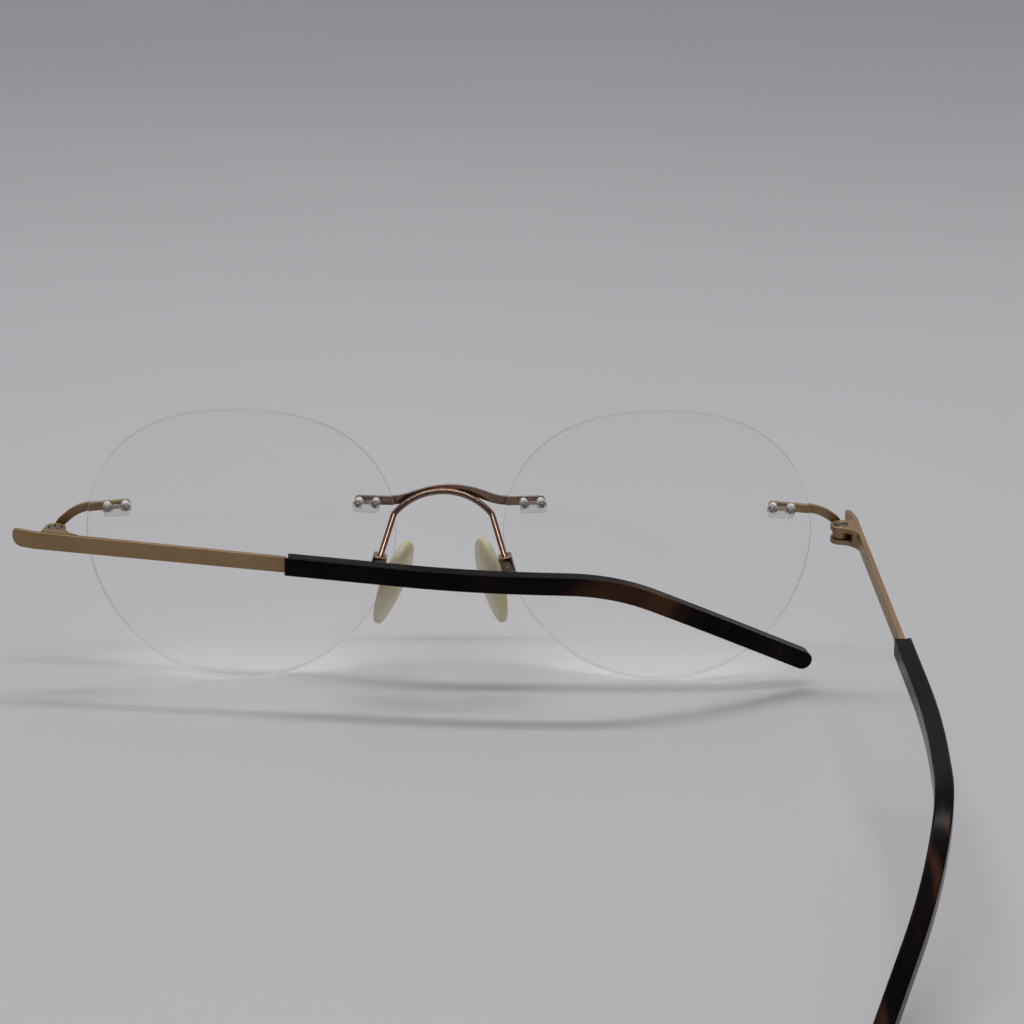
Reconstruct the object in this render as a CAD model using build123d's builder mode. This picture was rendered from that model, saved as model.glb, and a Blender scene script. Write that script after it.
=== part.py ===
from build123d import *
from math import cos, sin, radians, pi
import os

os.makedirs("parts", exist_ok=True)

# Rimless eyeglasses, in millimetres. The origin is on the table under the middle of the bridge:
# +Z is up, the fronts of the lenses face -Y and the temples run back along +Y.
# The wearer's left is +X. The left temple is folded and the right one is open.
SIDES = {"left": 1, "right": -1}

# Lenses
LENS_WIDTH = 50.0
LENS_HEIGHT = 45.5
BRIDGE_GAP = 17.8
LENS_TILT = 2.5            # degrees, the top of each lens leans forward
LENS_WRAP = 3.4            # degrees, the outer edge of each lens turns back
BACK_CURVE = 125.0         # radius of the surface that faces the eye
FRONT_CURVE = 140.0
LENS_CENTRE = 1.6          # thickness in the middle
OVALNESS = 1.06            # terms of the outline's radius, on a 25 mm circle
TEMPORAL_FULLNESS = -0.16
SQUARENESS = -0.21
SHOULDER = 0.81
NASAL_LEAN = 0.15
OUTLINE_POINTS = 36

# Posts and clear plugs that hold the metal to the lenses
POST_HEIGHT = 29.7         # above the table
NASAL_POSTS = (12.0, 14.8)
TEMPORAL_POSTS = (52.9, 55.8)
POST_RADIUS = 0.4
SLEEVE_BORE = 0.44
SLEEVE_RADIUS = 0.7
LENS_HOLE = 0.75
HEAD_RADIUS = 0.85
HEAD_LENGTH = 0.75
WEB = (4.3, 1.9, 0.3)      # plate that joins the two heads of a plug
WEB_DROP = 0.35
GAP = 0.08                 # air between a strap and the lens in front of which it lies

# Bridge and end-piece straps
STRAP_HEIGHT = 1.4
STRAP_DEPTH = 0.9
BRIDGE_END = 15.6
BRIDGE_LEVEL = 29.8
BRIDGE_RISE = 2.1
BRIDGE_REAR = -0.65        # rear face of the bridge at its middle
BRIDGE_STRAIGHT = 9.6      # the strap is straight from here outwards
END_START = 52.2
END_DROP = (-0.1, 1.1)     # where the end piece has turned down, from its hinge
END_FACE = 2.35            # rear face of the end piece in front of its hinge
END_BOSS = 1.05
END_RADII = [6.0, 2.0]      # of the two bends of the end piece, seen from the front
NASAL_SLOPE = 5.5          # degrees, how far a strap turns with the lens that it lies on
TEMPORAL_SLOPE = 11.9

# Pad arms and pads, set a little to the wearer's left as they have been bent
PAD_SHIFT = 1.1
WIRE_RADIUS = 0.5
ARCH_HALF = 8.0
ARCH_CREST = 31.75
ARCH_FOOT = (1.6, 28.35)   # y and z of each end of the arch, just behind the lenses
WIRE_END_DROP = 0.45       # how far a leg of the wire goes into its box
BOX_CENTRE = (10.45, 6.9, 21.5)
BOX_SIZE = (2.3, 2.8, 3.4)
BOX_LEAN = 16.0            # degrees, the foot of the box is further out
BOX_CAP = 0.75
BOX_WALL = 0.3
BOX_SLOT = 1.3
PIVOT_DROP = 0.3           # the pad's screw sits this far below the middle of the box
TAB_DEPTH = 1.2
TAB_RADIUS = 0.8
NECK_HEIGHT = 1.2
PLATE = (4.0, 6.0, 0.5)    # plate moulded into a pad
PAD_SCREW_RADIUS = 0.38
PAD_SCREW_HOLE = 0.42
PAD_SCREW_HEAD = (0.68, 0.35)
PAD_CENTRE = (8.1, 8.4, 19.2)
PAD_OUTLINE = ((0, 7.2), (2.6, 6.0), (3.7, 3.0), (3.6, 0), (2.9, -3.5), (1.7, -6.6), (0, -7.8))
PAD_THICKNESS = 2.4
PAD_EDGE = 1.0
PAD_SPLAY = 12.0           # degrees, the pads open towards the face
PAD_LEAN = {"left": 20.5, "right": 13.5}
PAD_RISE = {"left": 0.0, "right": 0.5}

# Hinges: distance from the middle plane, y and z. The right one has been bent up a little.
HINGE = {"left": (63.8, 4.45, 25.5), "right": (63.55, 4.45, 26.35)}
PIN_LEAN = 2.4             # degrees inwards at the top
DROOP = {"left": 4.1, "right": 4.8}    # degrees that a temple slopes down behind the hinge
TURN = {"left": 82.0, "right": -0.6}   # degrees from straight back, positive is folded
KNUCKLE_RADIUS = 1.7
BLOCK_HEIGHT = 3.0
FORK_GAP = 1.3
FORK_REACH = 1.45
TONGUE_RADIUS = 1.35
TONGUE_THICKNESS = 1.2
PIN_RADIUS = 0.55
HEAD_RECESS = (1.15, 0.45)
SCREW_HEAD = (1.08, 0.4)
FLARE_END = 4.6            # where the block runs out along the bar

# Temples, measured along the bar from the hinge pin
BAR_OFFSET = 2.7           # from the pin to the middle of the bar
BAR_THICKNESS = 0.8
PADDLE_FRONT = -6.4
PADDLE_HEIGHT = 2.9
PADDLE_CURL = 0.7          # the paddle's front end curls in this far
CURL_START = -2.6
PADDLE_ROUNDS = (1.6, 0.6)  # lower and upper front corner
BAR_HEIGHT = 2.6
TIP_MOUTH = {"left": 38.7, "right": 43.0}
TANG = (0.5, 2.0)          # thickness and height of the bar's end inside the tip
TANG_LENGTH = 1.2
TANG_ROOM = 0.15           # between the bar's shoulder and the ears of the tip
TIP_HEIGHT = 3.1
TIP_THICKNESS = 2.5
FIRST_CORNER = 67.7        # from the hinge pin, where the tip starts to turn
TIP_RUNS = (23.5, 15.5, 21.3)
TIP_DOWN = (2.5, 27.1, 30.1)           # degrees that each run slopes down from level
TIP_IN = (6.4, 18.5, 27.7)             # degrees that each run turns in towards the head
TIP_BEND = 0.45            # share of the shorter run beside a corner that its arc takes up
CORE_RADIUS = 0.6
CORE_BORE = 0.66
TIP_EDGE = 0.35
DISH_RADIUS = 1.7          # hollow in the mouth of a tip


def unit(angle):
    """Cosine and sine of an angle in degrees."""
    return cos(radians(angle)), sin(radians(angle))


def lens_plane(side):
    """Plane of a lens: X along its width, Y up, Z out of its front, at the back surface."""
    cos_wrap, sin_wrap = unit(LENS_WRAP)
    cos_tilt, sin_tilt = unit(LENS_TILT)
    front = (side * sin_wrap * cos_tilt, -cos_wrap * cos_tilt, -sin_tilt)
    centre = (side * (LENS_WIDTH + BRIDGE_GAP) / 2, 0, LENS_HEIGHT / 2 * cos_tilt - 0.02)
    return Plane(origin=centre, x_dir=(cos_wrap, side * sin_wrap, 0), z_dir=front)


def lens_outline(side):
    """Points of the lens outline: an oval, widest above its middle, from a formula."""
    points = []
    for step in range(OUTLINE_POINTS):
        turn = 2 * pi * step / OUTLINE_POINTS
        radius = (LENS_WIDTH / 2 + OVALNESS * cos(2 * turn) + TEMPORAL_FULLNESS * cos(3 * turn)
                  + SQUARENESS * cos(4 * turn) + NASAL_LEAN * sin(2 * turn)
                  + SHOULDER * sin(3 * turn))
        points.append((radius * cos(turn), radius * sin(turn)))
    across = [point[0] for point in points]
    up = [point[1] for point in points]
    wide = LENS_WIDTH / (max(across) - min(across))
    high = LENS_HEIGHT / (max(up) - min(up))
    middle = (max(across) + min(across)) / 2, (max(up) + min(up)) / 2
    return [(side * wide * (x - middle[0]), high * (y - middle[1])) for x, y in points]


def lens_front_y(side, x):
    """Y of a lens's front surface at the height of the posts."""
    plane = lens_plane(side)
    local = plane.to_local_coords(Vector(side * x, 0, POST_HEIGHT))
    sag = (local.X ** 2 + local.Y ** 2) / (2 * FRONT_CURVE)
    return plane.from_local_coords(Vector(local.X, local.Y, LENS_CENTRE - sag)).Y


def mount_plane(side, posts, slope):
    """Plane on the rear face of a strap, between its two posts, with Z towards the front."""
    middle = sum(posts) / 2
    cos_slope, sin_slope = unit(slope)
    rear = lens_front_y(side, middle) - GAP
    return Plane(origin=(side * middle, rear, POST_HEIGHT), x_dir=(cos_slope, side * sin_slope, 0),
                 z_dir=(side * sin_slope, -cos_slope, 0))


MOUNTS = {}
for name, side in SIDES.items():
    MOUNTS["nasal_" + name] = mount_plane(side, NASAL_POSTS, -NASAL_SLOPE)
    MOUNTS["temporal_" + name] = mount_plane(side, TEMPORAL_POSTS, TEMPORAL_SLOPE)

POST_SPACING = {"nasal": NASAL_POSTS[1] - NASAL_POSTS[0],
                "temporal": TEMPORAL_POSTS[1] - TEMPORAL_POSTS[0]}
LENS_DEPTH = 2.1           # from a strap's rear face to the back of the lens, with the gap
POST_LENGTH = LENS_DEPTH + HEAD_LENGTH - 0.15


def write(piece, label):
    """Names a finished piece and writes its STEP file."""
    piece.part.label = label
    export_step(piece.part, "parts/" + label + ".step")


def make_lens(name, side):
    plane = lens_plane(side)
    with BuildPart() as lens:
        with BuildSketch(plane):
            with BuildLine():
                Spline(*lens_outline(side), periodic=True)
            make_face()
        extrude(amount=12, both=True)
        with Locations(plane.offset(LENS_CENTRE - FRONT_CURVE)):
            Sphere(FRONT_CURVE, rotation=(90, 0, 0), mode=Mode.INTERSECT)
        with Locations(plane.offset(-BACK_CURVE)):
            Sphere(BACK_CURVE, rotation=(90, 0, 0), mode=Mode.SUBTRACT)
        for place in ("nasal", "temporal"):
            with BuildSketch(MOUNTS[place + "_" + name]):
                with GridLocations(POST_SPACING[place], 1, 2, 1):
                    Circle(LENS_HOLE)
            extrude(amount=8, both=True, mode=Mode.SUBTRACT)
    write(lens, "lens_" + name)


def make_posts(place, name, label):
    """Two posts soldered on the rear face of a strap."""
    mount = MOUNTS[place + "_" + name]
    with BuildPart() as posts:
        with BuildSketch(mount):
            with GridLocations(POST_SPACING[place], 1, 2, 1):
                Circle(POST_RADIUS)
        extrude(amount=-POST_LENGTH)
        chamfer(posts.faces().sort_by(Axis(mount.origin, mount.z_dir))[:2].edges(), 0.1)
    write(posts, label)


def make_plug(place, name):
    """Clear double plug: two sleeves through the lens, with heads and a web behind it."""
    mount = MOUNTS[place + "_" + name]
    behind = mount.offset(-LENS_DEPTH)
    sleeve_front = GAP + 0.1
    with BuildPart() as plug:
        with BuildSketch(mount.offset(-sleeve_front)):
            with GridLocations(POST_SPACING[place], 1, 2, 1):
                Circle(SLEEVE_RADIUS)
        extrude(amount=sleeve_front - LENS_DEPTH)
        with BuildSketch(behind):
            with GridLocations(POST_SPACING[place], 1, 2, 1):
                Circle(HEAD_RADIUS)
        extrude(amount=-HEAD_LENGTH)
        with BuildSketch(behind):
            with Locations((0, -WEB_DROP)):
                RectangleRounded(WEB[0], WEB[1], 0.4)
        extrude(amount=-WEB[2])
        with BuildSketch(mount):
            with GridLocations(POST_SPACING[place], 1, 2, 1):
                Circle(SLEEVE_BORE)
        extrude(amount=-(LENS_DEPTH + 2 * HEAD_LENGTH), mode=Mode.SUBTRACT)
        fillet(plug.faces().sort_by(Axis(mount.origin, mount.z_dir))[:2].edges(), 0.12)
    write(plug, place + "_plug_" + name)


def strap_line(side, posts, slope, x):
    """Y of the middle of a strap at x, where it is straight."""
    rise = (x - sum(posts) / 2) * sin(radians(slope)) / cos(radians(slope))
    return lens_front_y(side, sum(posts) / 2) - GAP - STRAP_DEPTH / 2 + rise


def make_bridge_bar():
    """Flat strap across the bridge: its front view crossed with its plan."""
    level, straight = BRIDGE_LEVEL, BRIDGE_STRAIGHT
    end = BRIDGE_END - STRAP_HEIGHT / 2
    past = BRIDGE_END + 2
    corner_y = strap_line(1, NASAL_POSTS, -NASAL_SLOPE, straight)
    past_y = strap_line(1, NASAL_POSTS, -NASAL_SLOPE, past)
    slope = unit(NASAL_SLOPE)
    with BuildPart() as bar:
        with BuildSketch(Plane.XZ):
            with BuildLine() as front:
                Line((-end, level), (-straight, level))
                Spline((-straight, level), (-5, level + 0.57 * BRIDGE_RISE), (0, level + BRIDGE_RISE),
                       (5, level + 0.57 * BRIDGE_RISE), (straight, level), tangents=[(1, 0), (1, 0)])
                Line((straight, level), (end, level))
            trace(line_width=STRAP_HEIGHT)
            with Locations((-end, level), (end, level)):
                Circle(STRAP_HEIGHT / 2)
        extrude(amount=6, both=True)
        with BuildSketch(Plane.XY.offset(level - 3)):
            with BuildLine() as plan:
                Line((-past, past_y), (-straight, corner_y))
                Spline((-straight, corner_y), (0, BRIDGE_REAR - STRAP_DEPTH / 2), (straight, corner_y),
                       tangents=[slope, (slope[0], -slope[1])])
                Line((straight, corner_y), (past, past_y))
            trace(line_width=STRAP_DEPTH)
        extrude(amount=8, mode=Mode.INTERSECT)
    write(bar, "bridge_bar")


def hinge_plane(name, turn):
    """Plane at a hinge: Z along the pin, and Y back along a temple that has turned this far."""
    side = SIDES[name]
    out, y, z = HINGE[name]
    cos_lean, sin_lean = unit(PIN_LEAN)
    cos_droop, sin_droop = unit(DROOP[name])
    straight = Vector(cos_lean, side * sin_lean * sin_droop, side * sin_lean * cos_droop)
    pin = Vector(-side * sin_lean, cos_lean * sin_droop, cos_lean * cos_droop)
    turned = straight.rotate(Axis((0, 0, 0), pin), side * turn)
    return Plane(origin=(side * out, y, z), x_dir=turned, z_dir=pin)


def make_endpiece(name, side):
    """Strap from the lens to the hinge, which turns down and ends in the hinge's middle tongue."""
    out, back, height = HINGE[name]
    turned_down = (side * (out + END_DROP[0]), height + END_DROP[1])
    boss = (turned_down[0], height)
    start = END_START + STRAP_HEIGHT / 2
    level = END_FACE - STRAP_DEPTH / 2
    inner = END_START - 1.5
    inner_y = strap_line(1, TEMPORAL_POSTS, TEMPORAL_SLOPE, inner)
    corner = inner + (level - inner_y) / (sin(radians(TEMPORAL_SLOPE)) / cos(radians(TEMPORAL_SLOPE)))
    with BuildPart() as piece:
        with BuildSketch(Plane.XZ):
            with BuildLine():
                FilletPolyline((side * start, POST_HEIGHT), (side * 60.4, 29.5), turned_down, boss,
                               radius=END_RADII)
            trace(line_width=STRAP_HEIGHT)
            with Locations((side * start, POST_HEIGHT)):
                Circle(STRAP_HEIGHT / 2)
            with Locations(boss):
                Circle(END_BOSS)
        extrude(amount=8, both=True)
        with BuildSketch(Plane.XY.offset(20)):
            with BuildLine():
                FilletPolyline((side * inner, inner_y), (side * corner, level),
                               (side * (out + 3), level), radius=8)
            trace(line_width=STRAP_DEPTH)
        extrude(amount=14, mode=Mode.INTERSECT)
        with BuildSketch(hinge_plane(name, 0)):
            Circle(TONGUE_RADIUS)
            with Locations((side * END_DROP[0], (level - back) / 2)):
                Rectangle(1.9, back - level)
        extrude(amount=TONGUE_THICKNESS / 2, both=True)
        with BuildSketch(hinge_plane(name, 0)):
            Circle(PIN_RADIUS + 0.05)
        extrude(amount=BLOCK_HEIGHT, both=True, mode=Mode.SUBTRACT)
    write(piece, "endpiece_" + name)


def pivot_plane(side):
    """Plane of a pad box: origin on the pad's screw, Y back along it, Z up the leaning box."""
    cos_lean, sin_lean = unit(BOX_LEAN)
    x = side * (BOX_CENTRE[0] + PIVOT_DROP * sin_lean) + PAD_SHIFT
    return Plane(origin=(x, BOX_CENTRE[1], BOX_CENTRE[2] - PIVOT_DROP * cos_lean),
                 x_dir=(cos_lean, 0, side * sin_lean), z_dir=(-side * sin_lean, 0, cos_lean))


def leg_ends(side):
    """The two ends of a leg of the wire: the foot of the arch, and a point inside the box's cap."""
    top = pivot_plane(side).from_local_coords(
        Vector(0, 0, BOX_SIZE[2] / 2 + PIVOT_DROP - WIRE_END_DROP))
    return Vector(PAD_SHIFT + side * ARCH_HALF, *ARCH_FOOT), top


def make_pad_arm():
    """One round wire: an arch under the bridge, leaning back, and a leg down to each pad box."""
    crest = Vector(PAD_SHIFT, BRIDGE_REAR + WIRE_RADIUS, ARCH_CREST)
    with BuildPart() as arm:
        with BuildLine() as arch:
            ThreePointArc(leg_ends(-1)[0], crest, leg_ends(1)[0])
        with BuildSketch(Plane(origin=arch.line @ 0, z_dir=arch.line % 0)):
            Circle(WIRE_RADIUS)
        sweep(path=arch.line)
        for side in SIDES.values():
            foot, top = leg_ends(side)
            with BuildSketch(Plane(origin=foot, z_dir=top - foot)):
                Circle(WIRE_RADIUS)
            extrude(amount=(top - foot).length)
            with Locations(foot):
                Sphere(WIRE_RADIUS)
    write(arm, "pad_arm_wire")


def make_pad_box(name, side):
    """Small box on a leg of the wire, slotted on its nose side for the pad's tab."""
    pivot = pivot_plane(side)
    centre = pivot.offset(PIVOT_DROP)
    foot, top = leg_ends(side)
    slot_depth = BOX_SIZE[0] - BOX_WALL
    with BuildPart() as box:
        with BuildSketch(centre.offset(-BOX_SIZE[2] / 2)):
            RectangleRounded(BOX_SIZE[0], BOX_SIZE[1], 0.45)
        extrude(amount=BOX_SIZE[2])
        fillet(box.faces().sort_by(Axis(centre.origin, centre.z_dir))[-1].edges(), 0.3)
        with BuildSketch(centre.offset(-BOX_SIZE[2] / 2 - 0.5)):
            with Locations((side * -(BOX_WALL / 2 + 0.5), 0)):
                Rectangle(slot_depth + 1, BOX_SLOT)
        extrude(amount=BOX_SIZE[2] - BOX_CAP + 0.5, mode=Mode.SUBTRACT)
        with BuildSketch(Plane(origin=foot, z_dir=top - foot)):
            Circle(WIRE_RADIUS + 0.01)
        extrude(amount=(top - foot).length + 0.01, mode=Mode.SUBTRACT)
        with BuildSketch(Plane(origin=pivot.origin, x_dir=(1, 0, 0), z_dir=(0, 1, 0))):
            Circle(PAD_SCREW_HOLE)
        extrude(amount=BOX_SIZE[1], both=True, mode=Mode.SUBTRACT)
    write(box, "pad_box_" + name)


def make_pad_screw(name, side):
    """Cross screw through a pad box, with its slotted head towards the face."""
    pivot = pivot_plane(side)
    across = Plane(origin=pivot.origin, x_dir=(1, 0, 0), z_dir=(0, 1, 0))
    head = across.offset(BOX_SIZE[1] / 2 + 0.02)
    with BuildPart() as screw:
        with BuildSketch(across):
            Circle(PAD_SCREW_RADIUS)
        extrude(amount=BOX_SIZE[1] / 2 + 0.1, both=True)
        with BuildSketch(head):
            Circle(PAD_SCREW_HEAD[0])
        extrude(amount=PAD_SCREW_HEAD[1])
        chamfer(screw.faces().sort_by(Axis.Y)[-1].edges(), 0.1)
        with BuildSketch(head.offset(PAD_SCREW_HEAD[1] - 0.15)):
            Rectangle(2, 0.22, rotation=30)
        extrude(amount=0.3, mode=Mode.SUBTRACT)
    write(screw, "pad_screw_" + name)


def pad_plane(name, side):
    """Plane of a nose pad: Y up along it and Z out of the face that rests on the nose."""
    cos_lean, sin_lean = unit(PAD_LEAN[name])
    cos_splay, sin_splay = unit(PAD_SPLAY)
    up = Vector(-side * sin_lean, 0, cos_lean)
    face = Vector(-side * cos_lean * cos_splay, sin_splay, -sin_lean * cos_splay)
    x, y, z = PAD_CENTRE
    centre = (side * x + PAD_SHIFT, y, z + PAD_RISE[name])
    return Plane(origin=centre, x_dir=up.cross(face), z_dir=face)


def make_pad(name, side):
    """A soft teardrop pad, and the tab and plate that it is moulded round."""
    pivot, pad = pivot_plane(side), pad_plane(name, side)
    across = Plane(origin=pivot.origin, x_dir=(1, 0, 0), z_dir=(0, 1, 0))
    reach = (pad.origin - pivot.origin).dot(pad.z_dir)
    with BuildPart() as insert:
        with BuildSketch(pad.offset(-PLATE[2] / 2)):
            RectangleRounded(PLATE[0], PLATE[1], 1.2)
        extrude(amount=PLATE[2])
        with BuildSketch(Plane(origin=pivot.origin, x_dir=(0, 1, 0), z_dir=(-side * unit(PAD_LEAN[name])[0],
                         0, -unit(PAD_LEAN[name])[1]))):
            Rectangle(TAB_DEPTH, NECK_HEIGHT)
        extrude(amount=reach)
        with BuildSketch(across):
            Circle(TAB_RADIUS)
        extrude(amount=TAB_DEPTH / 2, both=True)
        with BuildSketch(across):
            Circle(PAD_SCREW_HOLE)
        extrude(amount=TAB_DEPTH, both=True, mode=Mode.SUBTRACT)
    write(insert, "pad_insert_" + name)
    left_half = [(-x, y) for x, y in reversed(PAD_OUTLINE[1:-1])]
    with BuildPart() as soft:
        with BuildSketch(pad.offset(-PAD_THICKNESS / 2)):
            with BuildLine():
                Spline(*PAD_OUTLINE, *left_half, periodic=True)
            make_face()
        extrude(amount=PAD_THICKNESS)
        fillet(soft.edges().filter_by(GeomType.BSPLINE), PAD_EDGE)
        add(insert.part, mode=Mode.SUBTRACT)
    write(soft, "nose_pad_" + name)


def tip_points(name, side):
    """Corners of a tip's centreline, from its mouth round the bend that goes down and inwards."""
    plane = hinge_plane(name, TURN[name])
    corner = Vector(side * BAR_OFFSET, FIRST_CORNER, 0)
    corners = [Vector(side * BAR_OFFSET, TIP_MOUTH[name], 0), corner]
    for run, down, inwards in zip(TIP_RUNS, TIP_DOWN, TIP_IN):
        cos_down, sin_down = unit(down - DROOP[name])
        cos_in, sin_in = unit(inwards)
        corner = corner + Vector(-side * sin_in * cos_down, cos_in * cos_down, -sin_down) * run
        corners.append(corner)
    return [plane.from_local_coords(point) for point in corners]


def draw_tip_line(corners):
    """Straight runs joined by arcs, each as large as its two runs allow."""
    radii = []
    for before, corner, after in zip(corners, corners[1:], corners[2:]):
        coming, going = corner - before, after - corner
        cos_half, sin_half = unit(coming.get_angle(going) / 2)
        radii.append(TIP_BEND * min(coming.length, going.length) * cos_half / sin_half)
    FilletPolyline(*corners, radius=radii)


def tip_section_plane(name, side):
    """Plane across a temple at the mouth of its tip: Y up and Z back along the tip."""
    plane = hinge_plane(name, TURN[name])
    return Plane(origin=tip_points(name, side)[0], x_dir=plane.x_dir * -1, z_dir=plane.y_dir)


def make_temple(name, side):
    """Flat bar with its paddle in front of the hinge, and the tang and core inside the tip."""
    plane = hinge_plane(name, TURN[name])
    flank = Plane(origin=plane.from_local_coords(Vector(side * BAR_OFFSET, 0, 0)),
                  x_dir=plane.y_dir, z_dir=plane.x_dir)
    shoulder = TIP_MOUTH[name] - TANG_ROOM
    with BuildPart() as temple:
        with BuildSketch(flank):
            with BuildLine():
                Polyline((PADDLE_FRONT, PADDLE_HEIGHT / 2), (shoulder, BAR_HEIGHT / 2),
                         (shoulder, -BAR_HEIGHT / 2), (PADDLE_FRONT, -PADDLE_HEIGHT / 2), close=True)
            make_face()
            fillet(vertices().sort_by(Axis.Y)[0], PADDLE_ROUNDS[0])
            fillet(vertices().sort_by(Axis.X)[:2].sort_by(Axis.Y)[-1], PADDLE_ROUNDS[1])
        extrude(amount=BAR_OFFSET, both=True)
        with BuildSketch(plane.offset(-PADDLE_HEIGHT)):
            with BuildLine():
                FilletPolyline((side * (BAR_OFFSET - PADDLE_CURL), PADDLE_FRONT),
                               (side * BAR_OFFSET, CURL_START), (side * BAR_OFFSET, shoulder), radius=8)
            trace(line_width=BAR_THICKNESS)
        extrude(amount=2 * PADDLE_HEIGHT, mode=Mode.INTERSECT)
        with BuildSketch(tip_section_plane(name, side).offset(-TANG_ROOM)):
            Rectangle(*TANG)
        extrude(amount=TANG_ROOM + TANG_LENGTH)
        with BuildLine() as core:
            draw_tip_line(tip_points(name, side)[:-1])
        with BuildSketch(tip_section_plane(name, side)):
            Circle(CORE_RADIUS)
        sweep(path=core.line)
    write(temple, "temple_bar_" + name)


def tip_end_plane(name, side):
    """The section plane of a tip carried round its bends to its far end."""
    section, corners = tip_section_plane(name, side), tip_points(name, side)
    across, heading = section.x_dir, section.z_dir
    for start, end in zip(corners[1:], corners[2:]):
        onward = (end - start).normalized()
        pole = Axis((0, 0, 0), heading.cross(onward))
        across = across.rotate(pole, heading.get_angle(onward))
        heading = onward
    return Plane(origin=corners[-1], x_dir=across, z_dir=heading)


def make_tip(name, side):
    """Acetate tip: a rectangular section swept round the ear bend, with a dished mouth."""
    section, end = tip_section_plane(name, side), tip_end_plane(name, side)
    dish_back = (DISH_RADIUS ** 2 - TIP_THICKNESS ** 2 / 4) ** 0.5
    with BuildPart() as tip:
        with BuildLine() as path:
            draw_tip_line(tip_points(name, side))
        with BuildSketch(section):
            RectangleRounded(TIP_THICKNESS, TIP_HEIGHT, TIP_EDGE)
        sweep(path=path.line)
        with BuildSketch(end):
            RectangleRounded(TIP_THICKNESS, TIP_HEIGHT, TIP_EDGE)
            Rectangle(TIP_THICKNESS, TIP_HEIGHT, align=(Align.CENTER, Align.MAX), mode=Mode.SUBTRACT)
        revolve(axis=Axis(end.origin, end.x_dir))
        with BuildSketch(section):
            Rectangle(TANG[0] + 0.1, TANG[1] + 0.1)
        extrude(amount=TANG_LENGTH + 0.05, mode=Mode.SUBTRACT)
        with BuildSketch(Plane(origin=section.origin, x_dir=section.x_dir, z_dir=section.y_dir)):
            with Locations((0, dish_back)):
                Circle(DISH_RADIUS)
        extrude(amount=TIP_HEIGHT, both=True, mode=Mode.SUBTRACT)
        with BuildLine() as bore:
            draw_tip_line(tip_points(name, side)[:-1])
        with BuildSketch(section):
            Circle(CORE_BORE)
        sweep(path=bore.line, mode=Mode.SUBTRACT)
    write(tip, "temple_tip_" + name)


def make_hinge_block(name, side):
    """Forked knuckle soldered inside the bar: two plates, joined by a web on the bar's side."""
    plane = hinge_plane(name, TURN[name])
    wall = BAR_OFFSET - BAR_THICKNESS / 2
    with BuildPart() as block:
        with BuildSketch(plane):
            with BuildLine():
                ThreePointArc((0, -KNUCKLE_RADIUS), (-side * KNUCKLE_RADIUS, 0), (0, KNUCKLE_RADIUS))
                ThreePointArc((0, KNUCKLE_RADIUS), (side * 0.64 * wall, 2.7), (side * wall, FLARE_END))
                Polyline((side * wall, FLARE_END), (side * wall, -KNUCKLE_RADIUS), (0, -KNUCKLE_RADIUS))
            make_face()
        extrude(amount=BLOCK_HEIGHT / 2, both=True)
        with BuildSketch(plane):
            with Locations((side * (FORK_REACH / 2 - 1.5), 0)):
                Rectangle(FORK_REACH + 3, 12)
        extrude(amount=FORK_GAP / 2, both=True, mode=Mode.SUBTRACT)
        with BuildSketch(plane):
            Circle(PIN_RADIUS + 0.02)
        extrude(amount=BLOCK_HEIGHT, both=True, mode=Mode.SUBTRACT)
        with BuildSketch(plane.offset(BLOCK_HEIGHT / 2 - HEAD_RECESS[1])):
            Circle(HEAD_RECESS[0])
        extrude(amount=1, mode=Mode.SUBTRACT)
    write(block, "hinge_block_" + name)


def make_hinge_screw(name, side):
    """Slotted screw that is the hinge's pin, threaded into the lower plate of the fork."""
    plane = hinge_plane(name, TURN[name])
    seat = plane.offset(BLOCK_HEIGHT / 2 - HEAD_RECESS[1] + 0.02)
    with BuildPart() as screw:
        with BuildSketch(plane.offset(-BLOCK_HEIGHT / 2)):
            Circle(PIN_RADIUS)
        extrude(amount=BLOCK_HEIGHT - HEAD_RECESS[1] + 0.05)
        with BuildSketch(seat):
            Circle(SCREW_HEAD[0])
        extrude(amount=SCREW_HEAD[1])
        chamfer(screw.faces().sort_by(Axis(plane.origin, plane.z_dir))[-1].edges(), 0.1)
        with BuildSketch(seat.offset(SCREW_HEAD[1] - 0.2)):
            Rectangle(2 * SCREW_HEAD[0] + 1, 0.3, rotation=20)
        extrude(amount=0.5, mode=Mode.SUBTRACT)
    write(screw, "hinge_screw_" + name)


make_bridge_bar()
make_pad_arm()
for name, side in SIDES.items():
    make_lens(name, side)
    make_posts("nasal", name, "bridge_posts_" + name)
    make_posts("temporal", name, "endpiece_posts_" + name)
    make_plug("nasal", name)
    make_plug("temporal", name)
    make_endpiece(name, side)
    make_pad_box(name, side)
    make_pad_screw(name, side)
    make_pad(name, side)
    make_temple(name, side)
    make_tip(name, side)
    make_hinge_block(name, side)
    make_hinge_screw(name, side)

for name, side in SIDES.items():
    pin = hinge_plane(name, 0)
    print(name, "hinge", pin.origin, "pin", pin.z_dir, "pad pivot", pivot_plane(side).origin,
          "tip end", tip_points(name, side)[-1])
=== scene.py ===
# %% [markdown]
# # Rimless eyeglasses
# A pair of rimless glasses has no frame: two drilled lenses carry everything else. Metal straps lie
# on the fronts of the lenses, thin posts go through the holes, and clear plugs hold the posts from
# behind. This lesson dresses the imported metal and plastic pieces, rebuilds the ones whose surface the
# eye reads most closely, and lights them on a plain table.
#
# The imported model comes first, because every place and size below is read from it.

from math import copysign, cos, pi, radians, sin

import bpy
from mathutils import Matrix, Vector


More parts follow.
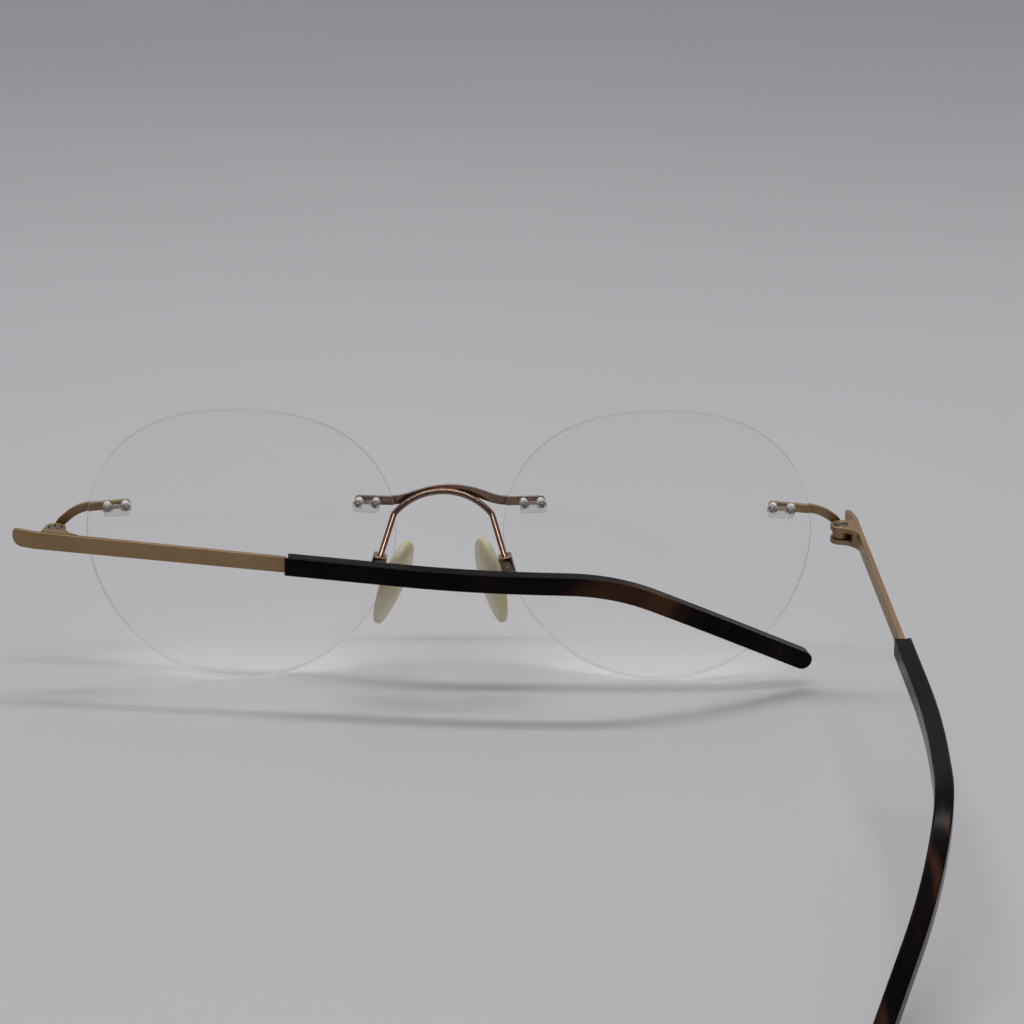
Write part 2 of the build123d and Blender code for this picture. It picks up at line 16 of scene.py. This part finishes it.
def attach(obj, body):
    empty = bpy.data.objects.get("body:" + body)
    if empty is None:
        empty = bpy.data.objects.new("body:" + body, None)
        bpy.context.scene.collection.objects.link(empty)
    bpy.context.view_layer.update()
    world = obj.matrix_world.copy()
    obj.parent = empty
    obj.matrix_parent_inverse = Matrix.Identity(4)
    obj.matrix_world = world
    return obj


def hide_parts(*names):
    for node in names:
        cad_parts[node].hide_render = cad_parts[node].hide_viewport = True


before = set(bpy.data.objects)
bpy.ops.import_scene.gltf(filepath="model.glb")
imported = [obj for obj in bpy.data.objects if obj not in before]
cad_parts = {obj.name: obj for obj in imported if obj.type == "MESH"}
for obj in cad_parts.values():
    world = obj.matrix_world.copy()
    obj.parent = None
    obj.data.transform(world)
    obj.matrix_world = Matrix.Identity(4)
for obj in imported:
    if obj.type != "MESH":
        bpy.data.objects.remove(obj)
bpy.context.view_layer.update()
MM = 0.001
SIDES = {"left": 1, "right": -1}

# %% [markdown]
# ## Camera
# The glasses are seen from the wearer's side, a little above, from about 40 cm, which is how a hand
# camera looks at them on a table. A camera looks down its own -Z, so its matrix is built from the
# three directions right, up and back.

# %% Camera
CAMERA_PLACE = Vector((-5.3, 374.4, 147.8)) * MM
CAMERA_YAW = -0.013
CAMERA_PITCH = 0.309
CAMERA_ROLL = -0.007
CAMERA_LENS = 84.4      # mm
SENSOR_WIDTH = 36       # mm
NEAREST = 0.01          # metres, since the glasses are much closer than Blender expects

yaw = Matrix.Rotation(CAMERA_YAW, 3, "Z")
towards = yaw @ Matrix.Rotation(CAMERA_PITCH, 3, "X") @ Vector((0, -1, 0))
rightwards = Matrix.Rotation(CAMERA_ROLL, 3, towards) @ yaw @ Vector((-1, 0, 0))
upwards = rightwards.cross(towards)
bpy.ops.object.camera_add(location=CAMERA_PLACE)
camera = bpy.context.object
turned = Matrix((rightwards, upwards, -towards)).transposed()
camera.matrix_world = Matrix.Translation(CAMERA_PLACE) @ turned.to_4x4()
camera.data.lens = CAMERA_LENS
camera.data.sensor_width = SENSOR_WIDTH
camera.data.clip_start = NEAREST
bpy.context.scene.camera = camera
print("camera looks along", [round(part, 3) for part in towards])

# %% [markdown]
# ## Two helpers for materials
# Every finish below is a small node tree on Blender's Principled shader. Paint and plastic colours
# are usually written as sRGB hex values, but shaders work in linear light, so one function turns them.
# The other adds a node, fills its settings and makes its links in one line, which keeps a tree
# readable from left to right.

# %% Colour and node helpers
def linear(code):
    """A hex colour such as #a08050, in linear light, with an alpha of 1."""
    parts = [int(code[place:place + 2], 16) / 255 for place in (1, 3, 5)]
    return [part / 12.92 if part <= 0.04045 else ((part + 0.055) / 1.055) ** 2.4 for part in parts] + [1]


def add(tree, kind, settings, links=None):
    """Adds a node. Settings are its own properties or the values of its sockets, by name or number."""
    made = tree.nodes.new("ShaderNode" + kind)
    for name, value in settings.items():
        if isinstance(name, int) or name in made.inputs:
            made.inputs[name].default_value = value
        else:
            setattr(made, name, value)
    for socket, source in (links or {}).items():
        tree.links.new(source, made.inputs[socket])
    return made


def start_material(name, settings):
    """A material with its Principled shader set, its node tree, and its Object coordinates."""
    material = bpy.data.materials.new(name)
    material.use_nodes = True
    tree = material.node_tree
    shader = tree.nodes["Principled BSDF"]
    for socket, value in settings.items():
        shader.inputs[socket].default_value = value
    place = add(tree, "TexCoord", {}).outputs["Object"]
    return material, tree, shader, place


print("mid grey in linear light", [round(part, 3) for part in linear("#808080")[:3]])

# %% [markdown]
# ## Satin champagne plating
# The temples, hinges and end pieces are nickel silver, blasted with fine beads and then plated in a
# pale champagne gold. The blasting leaves tiny dents of about 0.05 mm that spread the reflection, so
# the metal looks soft and a little grainy. Dents that fine would not show, so they are drawn 0.3 mm
# wide. A second, slower noise of a few millimetres varies the tone, as plating does.

# %% Satin champagne plating
GRAIN = 0.3 * MM
CLOUD = 6 * MM
DENT_DEPTH = 0.01 * MM
NOISE_LOW, NOISE_HIGH = 0.3, 0.7              # a noise seldom leaves this range
COLOUR_A, COLOUR_B, COLOUR_OUT = 6, 7, 2      # the colour sockets of a Mix node


def plated(name, dark, bright, smooth, rough, dent):
    """Plated metal: its colour drifts between two tones, and its roughness follows the grain."""
    material, tree, shader, place = start_material(name, {"Metallic": 1.0})
    cloud = add(tree, "TexNoise", {"Scale": 1 / CLOUD, "Detail": 3.0}, {"Vector": place})
    grain = add(tree, "TexNoise", {"Scale": 1 / GRAIN, "Detail": 2.0}, {"Vector": place})
    tone = add(tree, "Mix", {"data_type": "RGBA", COLOUR_A: linear(dark), COLOUR_B: linear(bright)},
               {"Factor": cloud.outputs["Fac"]})
    spread = add(tree, "MapRange", {"From Min": NOISE_LOW, "From Max": NOISE_HIGH,
                                    "To Min": smooth, "To Max": rough}, {"Value": grain.outputs["Fac"]})
    bump = add(tree, "Bump", {"Strength": dent, "Distance": DENT_DEPTH}, {"Height": grain.outputs["Fac"]})
    tree.links.new(tone.outputs[COLOUR_OUT], shader.inputs["Base Color"])
    tree.links.new(spread.outputs["Result"], shader.inputs["Roughness"])
    tree.links.new(bump.outputs["Normal"], shader.inputs["Normal"])
    return material


champagne = plated("satin_champagne_plating", dark="#8d7355", bright="#b0946f",
                   smooth=0.38, rough=0.54, dent=0.5)
print("made", champagne.name)

# %% [markdown]
# ## Polished rose-gold plating, and the bare metals
# The bridge, the pad wire and the pad boxes are polished before plating, and the layer has more copper
# in it. The same function makes it with less roughness and shallower dents, so that it mirrors the
# lamps and the dark room in thin, sharp lines. It makes the bare metals too: turned steel screws,
# drawn wire for the posts, and the duller shank inside each nose pad.

# %% Polished rose-gold plating and bare metals
rose = plated("polished_rose_gold_plating", dark="#74594b", bright="#9d8271",
              smooth=0.12, rough=0.2, dent=0.12)
screw_steel = plated("turned_screw_steel", dark="#5f574c", bright="#8a8070",
                     smooth=0.22, rough=0.34, dent=0.2)
post_wire = plated("drawn_post_wire", dark="#837880", bright="#a79ca2",
                   smooth=0.25, rough=0.4, dent=0.2)
insert_metal = plated("insert_metal", dark="#6f6757", bright="#8b8270",
                      smooth=0.35, rough=0.5, dent=0.2)
print("made", rose.name, screw_steel.name, post_wire.name, insert_metal.name)

# %% [markdown]
# ## Clear plastics
# The lenses are cast lens plastic with an index of 1.5. A coating takes away most of their mirror
# image, which an index of 1.2 gives here: in a lens this thin, less bending can't be seen, but less
# mirroring can. Their edge is ground and only half polished: it scatters light, which is why a rimless
# lens is seen as a thin pale line. The plugs are a softer clear plastic with a satin surface, and all
# of them are smeared a little by handling. In Cycles a clear solid throws a dark shadow, because lamps
# are not traced through it, so shadow rays meet a transparent shader instead.

# %% Clear plastics
SMEAR = 9 * MM
LAMP_TINT = "#f2f4f2"      # what one surface leaves of a lamp's light


def clear_plastic(name, clean, smeared, index, rough, passes, mirror):
    """See-through plastic that lets lamps shine through it."""
    material, tree, shader, place = start_material(
        name, {"IOR": index, "Roughness": rough, "Transmission Weight": passes, "Specular IOR Level": mirror})
    smear = add(tree, "TexNoise", {"Scale": 1 / SMEAR, "Detail": 2.0}, {"Vector": place})
    tint = add(tree, "Mix", {"data_type": "RGBA", COLOUR_A: linear(clean), COLOUR_B: linear(smeared)},
               {"Factor": smear.outputs["Fac"]})
    tree.links.new(tint.outputs[COLOUR_OUT], shader.inputs["Base Color"])
    through = add(tree, "BsdfTransparent", {"Color": linear(LAMP_TINT)})
    lamps = add(tree, "LightPath", {})
    both = add(tree, "MixShader", {})
    tree.links.new(lamps.outputs["Is Shadow Ray"], both.inputs[0])
    tree.links.new(shader.outputs[0], both.inputs[1])
    tree.links.new(through.outputs[0], both.inputs[2])
    tree.links.new(both.outputs[0], tree.nodes["Material Output"].inputs["Surface"])
    return material


lens_plastic = clear_plastic("coated_lens_plastic", clean="#fefefe", smeared="#fcfdfd",
                             index=1.2, rough=0.0, passes=1.0, mirror=0.3)
lens_edge = clear_plastic("half_polished_lens_edge", clean="#d6d6d3", smeared="#c2c2bf",
                          index=1.5, rough=0.35, passes=0.6, mirror=0.5)
plug_plastic = clear_plastic("clear_plug_plastic", clean="#fbf9f8", smeared="#f2efed",
                             index=1.49, rough=0.12, passes=0.88, mirror=0.3)
print("made", lens_plastic.name, lens_edge.name, plug_plastic.name)

# %% [markdown]
# ## Dark tortoise acetate
# The temple tips are cellulose acetate, cut from a sheet in which dark brown and amber were folded
# together, then tumbled to a gloss. Most of it is nearly black, and soft brown streaks about 18 mm
# long and 3 mm wide come up where the amber layer is thick. A noise that is stretched along the
# temple draws them. One temple lies across the other, so their streaks are crossed by different
# directions. The dark skin mirrors little, so its specular level is low.

# %% Dark tortoise acetate
STREAK_LENGTH = 18 * MM
STREAK_WIDTH = 3 * MM
X, Y = 0, 1


def tortoise(name, across):
    """Acetate whose streaks run along a temple. Across is the axis that crosses the streaks."""
    material, tree, shader, place = start_material(
        name, {"Roughness": 0.2, "IOR": 1.48, "Specular IOR Level": 0.06})
    streak = [1 / STREAK_LENGTH] * 3
    streak[across] = 1 / STREAK_WIDTH
    stretched = add(tree, "Mapping", {"Scale": streak}, {"Vector": place})
    amber = add(tree, "TexNoise", {"Scale": 1.0, "Detail": 1.5, "Distortion": 0.3},
                {"Vector": stretched.outputs["Vector"]})
    ramp = add(tree, "ValToRGB", {}, {"Fac": amber.outputs["Fac"]})
    black, brown = ramp.color_ramp.elements
    black.position, black.color = 0.42, linear("#040303")
    brown.position, brown.color = 0.75, linear("#4d3122")
    ramp.color_ramp.elements.new(0.56).color = linear("#140b09")
    tree.links.new(ramp.outputs["Color"], shader.inputs["Base Color"])
    return material


acetate = {"left": tortoise("dark_tortoise_acetate_left", Y), "right": tortoise("dark_tortoise_acetate", X)}
print("made", [material.name for material in acetate.values()])

# %% [markdown]
# ## Yellowed silicone
# Nose pads are moulded from clear silicone, which turns milky and yellow with wear. Light goes some
# way into it, so it has subsurface scattering and lets part of the light straight through, and soft
# clouds about 2.5 mm wide show where it has aged more.

# %% Yellowed silicone
AGED_PATCH = 2.5 * MM
PATCH_SWELL = 0.08 * MM

silicone, tree, shader, place = start_material(
    "yellowed_silicone", {"Roughness": 0.38, "IOR": 1.41, "Transmission Weight": 0.3,
                          "Subsurface Weight": 0.6, "Subsurface Scale": 3 * MM,
                          "Coat Weight": 0.2, "Coat Roughness": 0.15})
clouds = add(tree, "TexNoise", {"Scale": 1 / AGED_PATCH, "Detail": 3.0}, {"Vector": place})
ramp = add(tree, "ValToRGB", {}, {"Fac": clouds.outputs["Fac"]})
aged, fresh = ramp.color_ramp.elements
aged.position, aged.color = NOISE_LOW, linear("#eee6b4")
fresh.position, fresh.color = NOISE_HIGH, linear("#fffbe4")
tree.links.new(ramp.outputs["Color"], shader.inputs["Base Color"])
bump = add(tree, "Bump", {"Strength": 0.25, "Distance": PATCH_SWELL}, {"Height": clouds.outputs["Fac"]})
tree.links.new(bump.outputs["Normal"], shader.inputs["Normal"])
print("made", silicone.name)

# %% [markdown]
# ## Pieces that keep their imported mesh
# Round wire, posts, screws, plugs, inserts and the rounded temple tips already have their true shape,
# so they only get a finish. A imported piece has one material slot, and the new material takes its place.

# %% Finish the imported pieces
FINISHES = {"pad_arm_wire": rose, "bridge_posts": post_wire, "endpiece_posts": post_wire,
            "nasal_plug": plug_plastic, "temporal_plug": plug_plastic, "hinge_screw": screw_steel,
            "pad_screw": screw_steel, "pad_insert": insert_metal}
for name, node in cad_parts.items():
    kind = name.removesuffix("_left").removesuffix("_right")
    if kind in FINISHES:
        node.material_slots[0].material = FINISHES[kind]
for name in SIDES:
    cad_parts["temple_tip_" + name].material_slots[0].material = acetate[name]
print("finished", len(FINISHES) + 1, "kinds of packed piece")

# %% [markdown]
# ## Straps, bars and blocks with softened edges
# A stamped strap or a milled block never has a knife edge: tumbling leaves a radius of about 0.1 mm,
# and that radius catches the light as a thin pale line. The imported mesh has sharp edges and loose
# triangles, so each of these pieces is a copy: its triangles are merged, its flat areas are cleaned,
# and a bevel of two segments softens every edge that turns by more than 30 degrees. The copy is made
# by a function of its own, because the lenses need it without the bevel.

# %% Merged and softened copies
MERGE_DISTANCE = 0.002 * MM
FLAT_ANGLE = radians(1)        # faces that turn less than this are one flat area
BEVEL_ANGLE = radians(30)
SMOOTH_ANGLE = radians(35)


def merged_copy(name, body, material):
    """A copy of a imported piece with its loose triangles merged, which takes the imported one's place."""
    bpy.ops.object.select_all(action="DESELECT")
    piece = bpy.data.objects.new(name + "_finished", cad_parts[name].data.copy())
    bpy.context.scene.collection.objects.link(piece)
    piece.select_set(True)
    bpy.context.view_layer.objects.active = piece
    bpy.ops.mesh.customdata_custom_splitnormals_clear()
    bpy.ops.object.mode_set(mode="EDIT")
    bpy.ops.mesh.select_all(action="SELECT")
    bpy.ops.mesh.remove_doubles(threshold=MERGE_DISTANCE)
    bpy.ops.object.mode_set(mode="OBJECT")
    bpy.ops.object.shade_smooth_by_angle(angle=SMOOTH_ANGLE)
    piece.data.materials.clear()
    piece.data.materials.append(material)
    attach(piece, body)
    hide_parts(name)
    return piece


def softened_copy(name, radius, body, material):
    """A merged copy with its flat areas cleaned and its sharp edges rounded."""
    piece = merged_copy(name, body, material)
    bpy.ops.object.mode_set(mode="EDIT")
    bpy.ops.mesh.dissolve_limited(angle_limit=FLAT_ANGLE)
    bpy.ops.object.mode_set(mode="OBJECT")
    bevel = piece.modifiers.new("edges", "BEVEL")
    bevel.width = radius
    bevel.segments = 2
    bevel.limit_method = "ANGLE"
    bevel.angle_limit = BEVEL_ANGLE
    bevel.use_clamp_overlap = False
    bpy.ops.object.modifier_apply(modifier=bevel.name)
    bpy.ops.object.shade_smooth_by_angle(angle=SMOOTH_ANGLE)
    print(piece.name, len(piece.data.polygons), "faces")


# %% Straps, bars and blocks
STRAP_RADIUS, BOX_RADIUS, BAR_RADIUS = 0.12 * MM, 0.08 * MM, 0.1 * MM

softened_copy("bridge_bar", STRAP_RADIUS, "front", rose)
for name in SIDES:
    softened_copy("pad_box_" + name, BOX_RADIUS, "front", rose)
    softened_copy("endpiece_" + name, BAR_RADIUS, "front", champagne)
    softened_copy("hinge_block_" + name, BAR_RADIUS, name + "_temple", champagne)
    softened_copy("temple_bar_" + name, BAR_RADIUS, name + "_temple", champagne)

# %% [markdown]
# ## Lenses
# A rimless lens is cut to its outline on an edger, which leaves a ground edge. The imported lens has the
# true curved faces, outline and holes, so its copy is only merged. A flat cleaning or a bevel would
# spoil the smooth curve. Every face that looks sideways, away from the optical axis, gets the finish
# of the ground edge, as a second material on the same piece.

# %% Lenses
LENS_AXIS_SHARE = 0.7      # faces turned further than this from the axis are the ground edge

for name in SIDES:
    lens = merged_copy("lens_" + name, "front", lens_plastic)
    lens.data.materials.append(lens_edge)
    edge_faces = [face for face in lens.data.polygons if abs(face.normal.y) < LENS_AXIS_SHARE]
    for face in edge_faces:
        face.material_index = 1
    print(lens.name, "edge faces", len(edge_faces))

# %% [markdown]
# ## Nose pads
# A push-on nose pad is a soft drop: broad and round above, narrower below, crowned on the face that
# rests on the nose and flatter behind, where its insert comes out. It could be a subdivided box, but a
# sphere already has no corners, so the pad starts as one. It is turned in edit mode, so that its poles
# lie at the pad's two ends, and its vertices are then moved: the pad gets its size, is narrowed
# towards its lower end, and its thin rim becomes a rolled one.

# %% Nose pads
PAD_CENTRE = Vector((8.1, 8.4, 19.0)) * MM
PAD_SHIFT = 1.1 * MM                        # both pads are bent this far to the wearer's left
PAD_LEAN = {"left": 20.5, "right": 13.5}    # degrees
PAD_RISE = {"left": 0.0, "right": 0.5 * MM}
PAD_SPLAY = 26.0                            # degrees that the pads open towards the face
PAD_HALF = Vector((3.75, 7.45, 1.4)) * MM   # half its width, length and thickness
PAD_ROLL = 0.55                             # below 1, the rim is rolled and not a sphere's thin one
PAD_BACK = 0.75                             # thickness behind, as a share of the crowned face's
PAD_NARROWING = (0.96, 0.2, -0.16)          # width along the pad: constant, linear and square part
PAD_GRID = {"segments": 40, "ring_count": 28}


def make_nose_pad(name, side):
    """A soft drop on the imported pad's place."""
    lean, splay = radians(PAD_LEAN[name]), radians(PAD_SPLAY)
    along = Vector((-side * sin(lean), 0, cos(lean)))
    face = Vector((-side * cos(lean) * cos(splay), sin(splay), -sin(lean) * cos(splay)))
    turn = Matrix((along.cross(face), along, face)).transposed()
    centre = Vector((side * PAD_CENTRE.x + PAD_SHIFT, PAD_CENTRE.y, PAD_CENTRE.z + PAD_RISE[name]))
    bpy.ops.object.select_all(action="DESELECT")
    bpy.ops.mesh.primitive_uv_sphere_add(radius=1, **PAD_GRID)
    pad = bpy.context.object
    pad.name = "nose_pad_moulded_" + name
    bpy.ops.object.mode_set(mode="EDIT")
    bpy.ops.mesh.select_all(action="SELECT")
    bpy.ops.transform.rotate(value=pi / 2, orient_axis="X", center_override=(0, 0, 0))
    bpy.ops.object.mode_set(mode="OBJECT")
    for vertex in pad.data.vertices:
        x, y, z = vertex.co
        narrow = PAD_NARROWING[0] + PAD_NARROWING[1] * y + PAD_NARROWING[2] * y * y
        depth = copysign(abs(z) ** PAD_ROLL, z) * (PAD_BACK if z < 0 else 1.0)
        shaped = Vector((x * narrow * PAD_HALF.x, y * PAD_HALF.y, depth * PAD_HALF.z))
        vertex.co = centre + turn @ shaped
    bpy.ops.object.shade_smooth()
    pad.data.materials.append(silicone)
    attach(pad, name + "_nose_pad")
    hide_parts("nose_pad_" + name)
    heights = [vertex.co.z for vertex in pad.data.vertices]
    print(pad.name, "height in mm", round((max(heights) - min(heights)) / MM, 1))


for name, side in SIDES.items():
    make_nose_pad(name, side)

# %% [markdown]
# ## Table
# The table is matt white laminate, large enough to fill the view. A very slow noise keeps it from being
# one flat tone.

# %% Table
TABLE_SIZE = 6             # metres
TABLE_CLOUD = 0.25         # metres

bpy.ops.object.select_all(action="DESELECT")
bpy.ops.mesh.primitive_plane_add(size=TABLE_SIZE)
table = bpy.context.object
table.name = "table_top"
laminate, tree, shader, place = start_material("matt_white_laminate", {"Roughness": 0.6})
shade = add(tree, "TexNoise", {"Scale": 1 / TABLE_CLOUD, "Detail": 2.0}, {"Vector": place})
ramp = add(tree, "ValToRGB", {}, {"Fac": shade.outputs["Fac"]})
ramp.color_ramp.elements[0].color = linear("#cccbce")
ramp.color_ramp.elements[1].color = linear("#d4d2d5")
tree.links.new(ramp.outputs["Color"], shader.inputs["Base Color"])
table.data.materials.append(laminate)
print("table side in metres", TABLE_SIZE)

# %% [markdown]
# ## Light
# Two long, narrow ceiling lamps hang over the table, one behind the glasses and one on the viewer's
# side. Bars that run the same way as a long lamp throw a sharp shadow from it, and bars that run
# across it throw hardly any. The rest of the room is a pale surround that is dark on the viewer's
# side: polished metal is only as lively as what it mirrors.

# %% Lamps
LAMP_SIZE = (0.5, 0.06)      # metres along and across
LAMP_HEIGHT = 0.7
LAMP_PLACES = {"lamp_behind": -0.17, "lamp_in_front": 0.33}
LAMP_POWER = 1.25
LAMP_COLOUR = (1.0, 0.99, 0.97)

for name, along_y in LAMP_PLACES.items():
    bpy.ops.object.light_add(type="AREA", location=(0, along_y, LAMP_HEIGHT))
    lamp = bpy.context.object
    lamp.name = name
    lamp.data.shape = "RECTANGLE"
    lamp.data.size, lamp.data.size_y = LAMP_SIZE
    lamp.data.energy = LAMP_POWER
    lamp.data.color = LAMP_COLOUR

# %% Surround
ROOM_BEHIND = (0.60, 0.61, 0.635, 1)         # linear light
ROOM_IN_FRONT = (0.085, 0.087, 0.095, 1)
ROOM_TURNS = (-0.6, 0.9)                     # Y of the direction where the two tones begin
ROOM_STRENGTH = 0.85

world = bpy.data.worlds.new("room")
bpy.context.scene.world = world
world.use_nodes = True
room = world.node_tree
direction = add(room, "TexCoord", {}).outputs["Generated"]
parts = add(room, "SeparateXYZ", {}, {"Vector": direction})
side_of_room = add(room, "MapRange", {"From Min": ROOM_TURNS[0], "From Max": ROOM_TURNS[1]},
                   {"Value": parts.outputs["Y"]})
ramp = add(room, "ValToRGB", {}, {"Fac": side_of_room.outputs["Result"]})
ramp.color_ramp.elements[0].color = ROOM_BEHIND
ramp.color_ramp.elements[1].color = ROOM_IN_FRONT
room.links.new(ramp.outputs["Color"], room.nodes["Background"].inputs["Color"])
room.nodes["Background"].inputs["Strength"].default_value = ROOM_STRENGTH
bpy.context.scene.view_settings.view_transform = "Standard"
print("surround strength", ROOM_STRENGTH)
